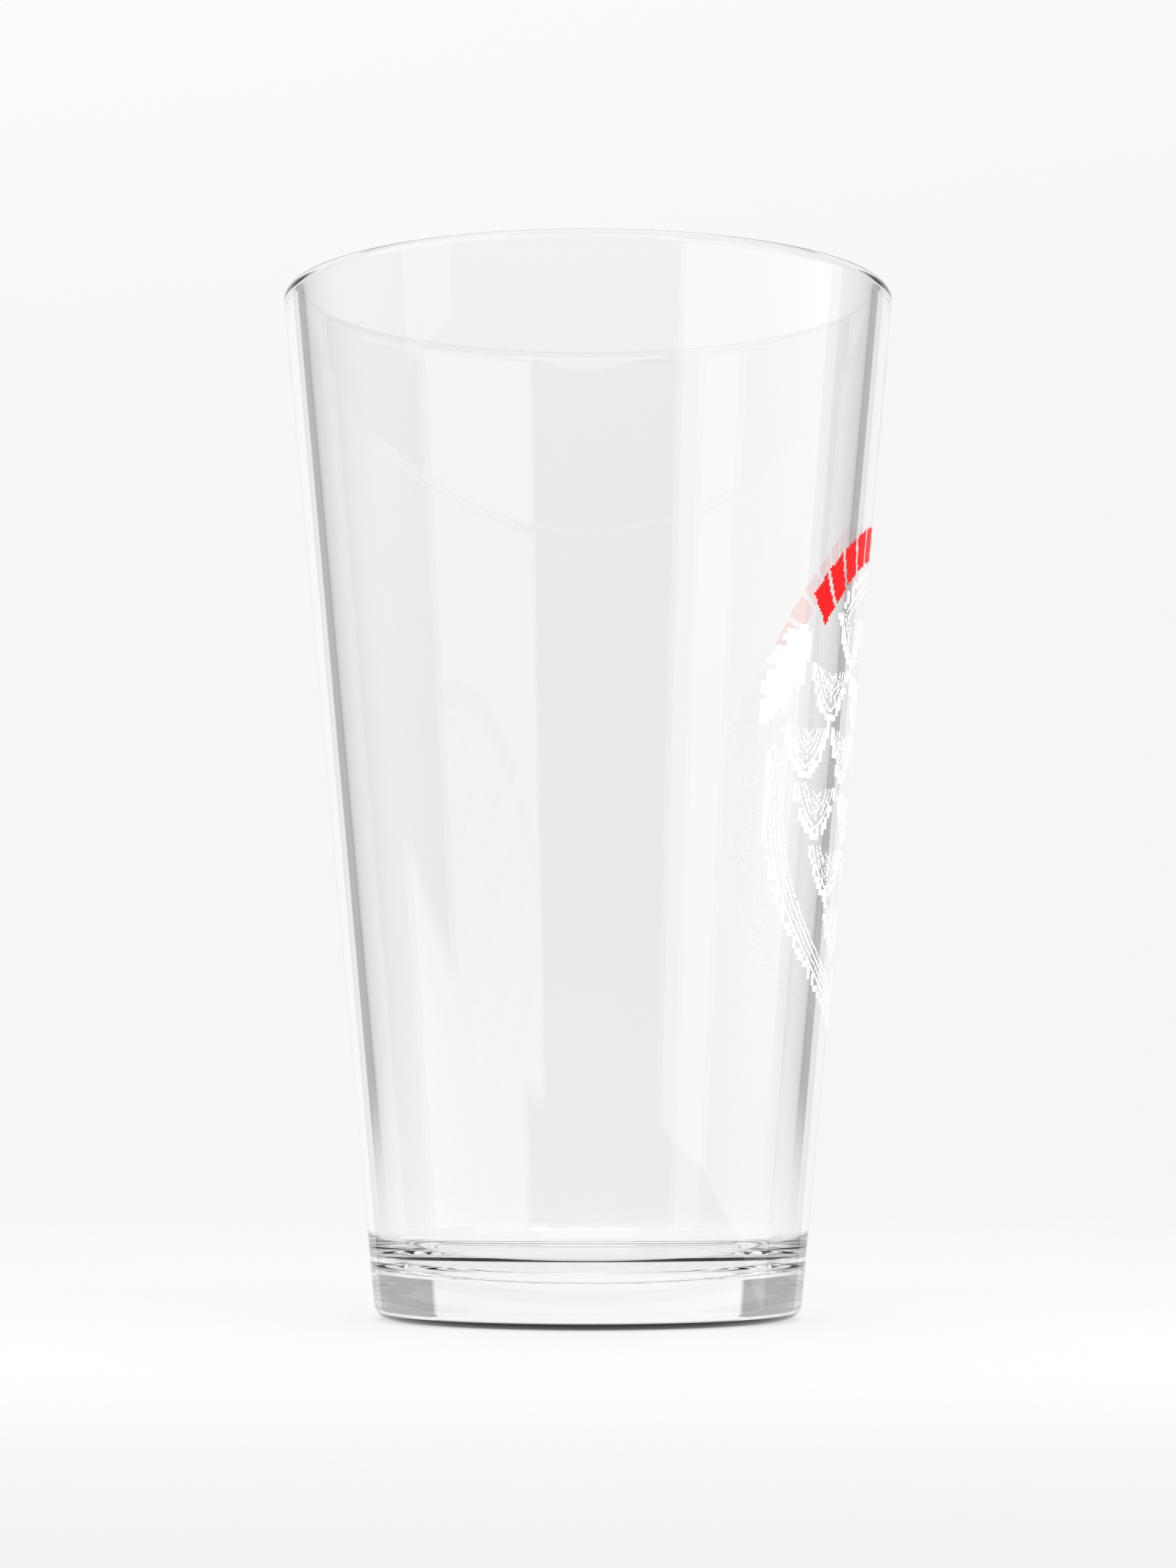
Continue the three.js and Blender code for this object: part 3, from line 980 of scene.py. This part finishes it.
# %% The world
BACK_LIGHT = 0.925
HALF_STEP = 0.5  # bounces are whole numbers, so they are compared half a step off
BOTH_WALLS_DEPTH = 4
ROOM_TONES = (
    # degrees away from straight behind the glass, tone
    (34.0, 0.40),
    (45.0, 0.42),
    (55.0, 0.44),
    (72.0, 0.60),
    (85.0, 0.50),
    (110.0, 0.25),
)
CEILING_LIGHT = 1.25
BACK_RISE = (0.16, 0.3)  # heights, in radians, between which the white brightens
BACK_GAIN = 0.036
BACK_SLOPE = -0.05  # it is a touch dimmer to the right
BACK_EDGE = (math.radians(32), math.radians(34))
MIRRORED_PANELS = (
    # bearings and heights in degrees, droop of the ends, light
    ((35.5, 107), (-12.4, 10.5), 0.0, 0.95),
    ((25, 77), (10.5, 32), 0.0, 0.95),
    ((-71, -51), (4.8, 25), 0.0, 0.55),
    ((-36, 36), (22.4, 60), 0.019, 1.2),
)
PANEL_SOFTNESS = 0.3  # degrees to either side of a mirrored panel's edge
DARK_EDGE = 0.08
DARK_EDGE_END = (math.radians(38), math.radians(62))
DARK_EDGE_LOW = (math.radians(-4.5), math.radians(-3.5))
CEILING_EDGE = (math.radians(40), math.radians(58))
UPPER_LIGHT = 0.7
UPPER_EDGE = (math.radians(12), math.radians(30))
LOWER_LIGHT = 0.8
LOWER_EDGE = (math.radians(-25), math.radians(-12))


def tone_scale(tree, value):
    """A colour ramp that holds the tones of the room by bearing."""
    scale = tree.nodes.new("ShaderNodeValToRGB")
    stops = scale.color_ramp.elements
    while len(stops) < len(ROOM_TONES):
        stops.new(0.5)
    for stop, (bearing, tone) in zip(stops, ROOM_TONES):
        stop.position = bearing / 180
        stop.color = (tone, tone, tone, 1)
    tree.links.new(value, scale.inputs["Fac"])
    return scale.outputs["Color"]


def build_world():
    world = bpy.data.worlds.new("studio_room")
    world.use_nodes = True
    tree = world.node_tree
    nodes = tree.nodes
    direction = nodes.new("ShaderNodeTexCoord").outputs["Generated"]
    split = nodes.new("ShaderNodeSeparateXYZ")
    tree.links.new(direction, split.inputs["Vector"])
    turn = maths(tree, "ABSOLUTE", maths(tree, "ARCTAN2", split.outputs["X"], split.outputs["Y"]))
    height = maths(tree, "ARCSINE", split.outputs["Z"])
    rising = ramp(tree, height, BACK_RISE, BACK_LIGHT, BACK_LIGHT + BACK_GAIN)
    white = maths(tree, "ADD", rising, maths(tree, "MULTIPLY", split.outputs["X"], BACK_SLOPE))
    level = tone_scale(tree, maths(tree, "DIVIDE", turn, math.pi))
    grey_share = ramp(tree, turn, BACK_EDGE, 0.0, 1.0)
    path = nodes.new("ShaderNodeLightPath")
    depth = path.outputs["Transmission Depth"]
    both_walls = maths(tree, "GREATER_THAN", depth, BOTH_WALLS_DEPTH - HALF_STEP)
    no_mirror = maths(tree, "LESS_THAN", path.outputs["Glossy Depth"], HALF_STEP)
    see_through = maths(tree, "MULTIPLY", both_walls, no_mirror)
    edge_share = maths(tree, "MULTIPLY", grey_share, ramp(tree, turn, DARK_EDGE_END, 1.0, 0.0))
    edge_share = maths(tree, "MULTIPLY", edge_share, ramp(tree, height, DARK_EDGE_LOW, 0.0, 1.0))

    def blend(share, a, b):
        node = nodes.new("ShaderNodeMix")
        for socket, value in (("Factor", share), ("A", a), ("B", b)):
            if isinstance(value, (int, float)):
                node.inputs[socket].default_value = value
            else:
                tree.links.new(value, node.inputs[socket])
        return node.outputs["Result"]

    level = blend(ramp(tree, height, UPPER_EDGE, 0.0, 1.0), level, UPPER_LIGHT)
    grey = blend(ramp(tree, height, LOWER_EDGE, 1.0, 0.0), level, LOWER_LIGHT)
    walls = blend(grey_share, white, grey)
    walls = blend(see_through, walls, blend(edge_share, white, DARK_EDGE))
    walls = blend(path.outputs["Is Camera Ray"], walls, white)
    ceiling = ramp(tree, height, CEILING_EDGE, 0.0, 1.0)
    level = blend(ceiling, walls, CEILING_LIGHT)
    front = maths(tree, "ARCTAN2", split.outputs["X"], maths(tree, "MULTIPLY", split.outputs["Y"], -1.0))
    mirrored = maths(tree, "GREATER_THAN", path.outputs["Glossy Depth"], HALF_STEP)
    from_inside = maths(tree, "MULTIPLY", mirrored, path.outputs["Is Transmission Ray"])
    for bearings, heights, droop, light in MIRRORED_PANELS:
        bent = maths(tree, "ADD", height, maths(tree, "MULTIPLY", maths(tree, "POWER", front, 2), droop))
        share = from_inside
        for value, edges in ((front, bearings), (bent, heights)):
            low, high = [(edge - PANEL_SOFTNESS, edge + PANEL_SOFTNESS) for edge in edges]
            rise = ramp(tree, value, [math.radians(a) for a in low], 0.0, 1.0)
            fall = ramp(tree, value, [math.radians(a) for a in high], 1.0, 0.0)
            share = maths(tree, "MULTIPLY", maths(tree, "MULTIPLY", share, rise), fall)
        level = maths(tree, "ADD", level, maths(tree, "MULTIPLY", share, light))
    tree.links.new(level, nodes["Background"].inputs["Strength"])
    nodes["Background"].inputs["Color"].default_value = (1, 1, 1, 1)
    return world


scene.world = build_world()
print("Room: white", BACK_LIGHT, "and tones", [tone for _, tone in ROOM_TONES])

# %% [markdown]
# ## The lamps
#
# Soft lamps are placed by what they do in the glass. A long panel at the right,
# in a low and a high part, gives the broad pale stripes. A panel over the camera
# lights the table, and a weak one at the left balances them.
#
# A lamp is seen only where the outside of the glass mirrors it. Straight through
# the clear walls it would be a hard white block, so it is hidden from rays that
# come out of the glass. What the inside of the walls mirrors is the row of
# bright panels that the room's shader adds.

# %% Lamps
def soft_panel(name, bearings, heights, distance, radiance, segments):
    """A lamp that wraps round the glass between two bearings and two heights.

    All are in degrees, and a bearing is counted from the camera's side towards
    +X. The panel is made of flat segments, like a folding screen.
    """
    aim = Vector((0, 0, HEIGHT / 2))
    spread = (bearings[1] - bearings[0]) / segments
    low, high = [distance * math.tan(math.radians(height)) for height in heights]
    for segment in range(segments):
        turn = math.radians(bearings[0] + (segment + 0.5) * spread)
        outward = Vector((math.sin(turn), -math.cos(turn), 0))
        lamp = bpy.data.lights.new(name, "AREA")
        lamp.shape = "RECTANGLE"
        lamp.size = 2 * distance * math.tan(math.radians(spread / 2))
        lamp.size_y = high - low
        lamp.energy = radiance * math.pi * lamp.size * lamp.size_y
        panel = bpy.data.objects.new(name, lamp)
        panel.location = aim + outward * distance + Vector((0, 0, (low + high) / 2))
        panel.rotation_euler = outward.to_track_quat("Z", "Y").to_euler()
        panel.visible_camera = False
        panel.visible_transmission = False
        scene.collection.objects.link(panel)
    print(name, "has", segments, "segments of", round(lamp.size, 2), "by", round(lamp.size_y, 2), "m")


LAMPS = (
    # name, bearings, heights, distance in metres, radiance, segments
    ("right_low_panel", (35.5, 107), (-12.7, 10.5), 1.3, 0.95, 3),
    ("right_high_panel", (25, 77), (10.5, 32), 1.3, 0.95, 2),
    ("left_panel", (-71, -51), (4.8, 25), 1.3, 0.55, 1),
    ("front_top_panel", (-36, 36), (25.75, 50), 1.1, 1.2, 9),
)
for settings in LAMPS:
    soft_panel(*settings)

# %% [markdown]
# ## Colour and light paths
#
# The plain Standard view keeps a white room white and a red ink red. A ray in a
# thick base is thrown back many times before it finds its way out, and one that
# is given up too soon leaves a black patch. So the limits are generous.

# %% Colour and light paths
scene.view_settings.view_transform = "Standard"
scene.cycles.max_bounces = 40
scene.cycles.transmission_bounces = 32
scene.cycles.glossy_bounces = 24
scene.cycles.transparent_max_bounces = 12
scene.cycles.caustics_reflective = False
print("Light paths of up to", scene.cycles.max_bounces, "bounces")
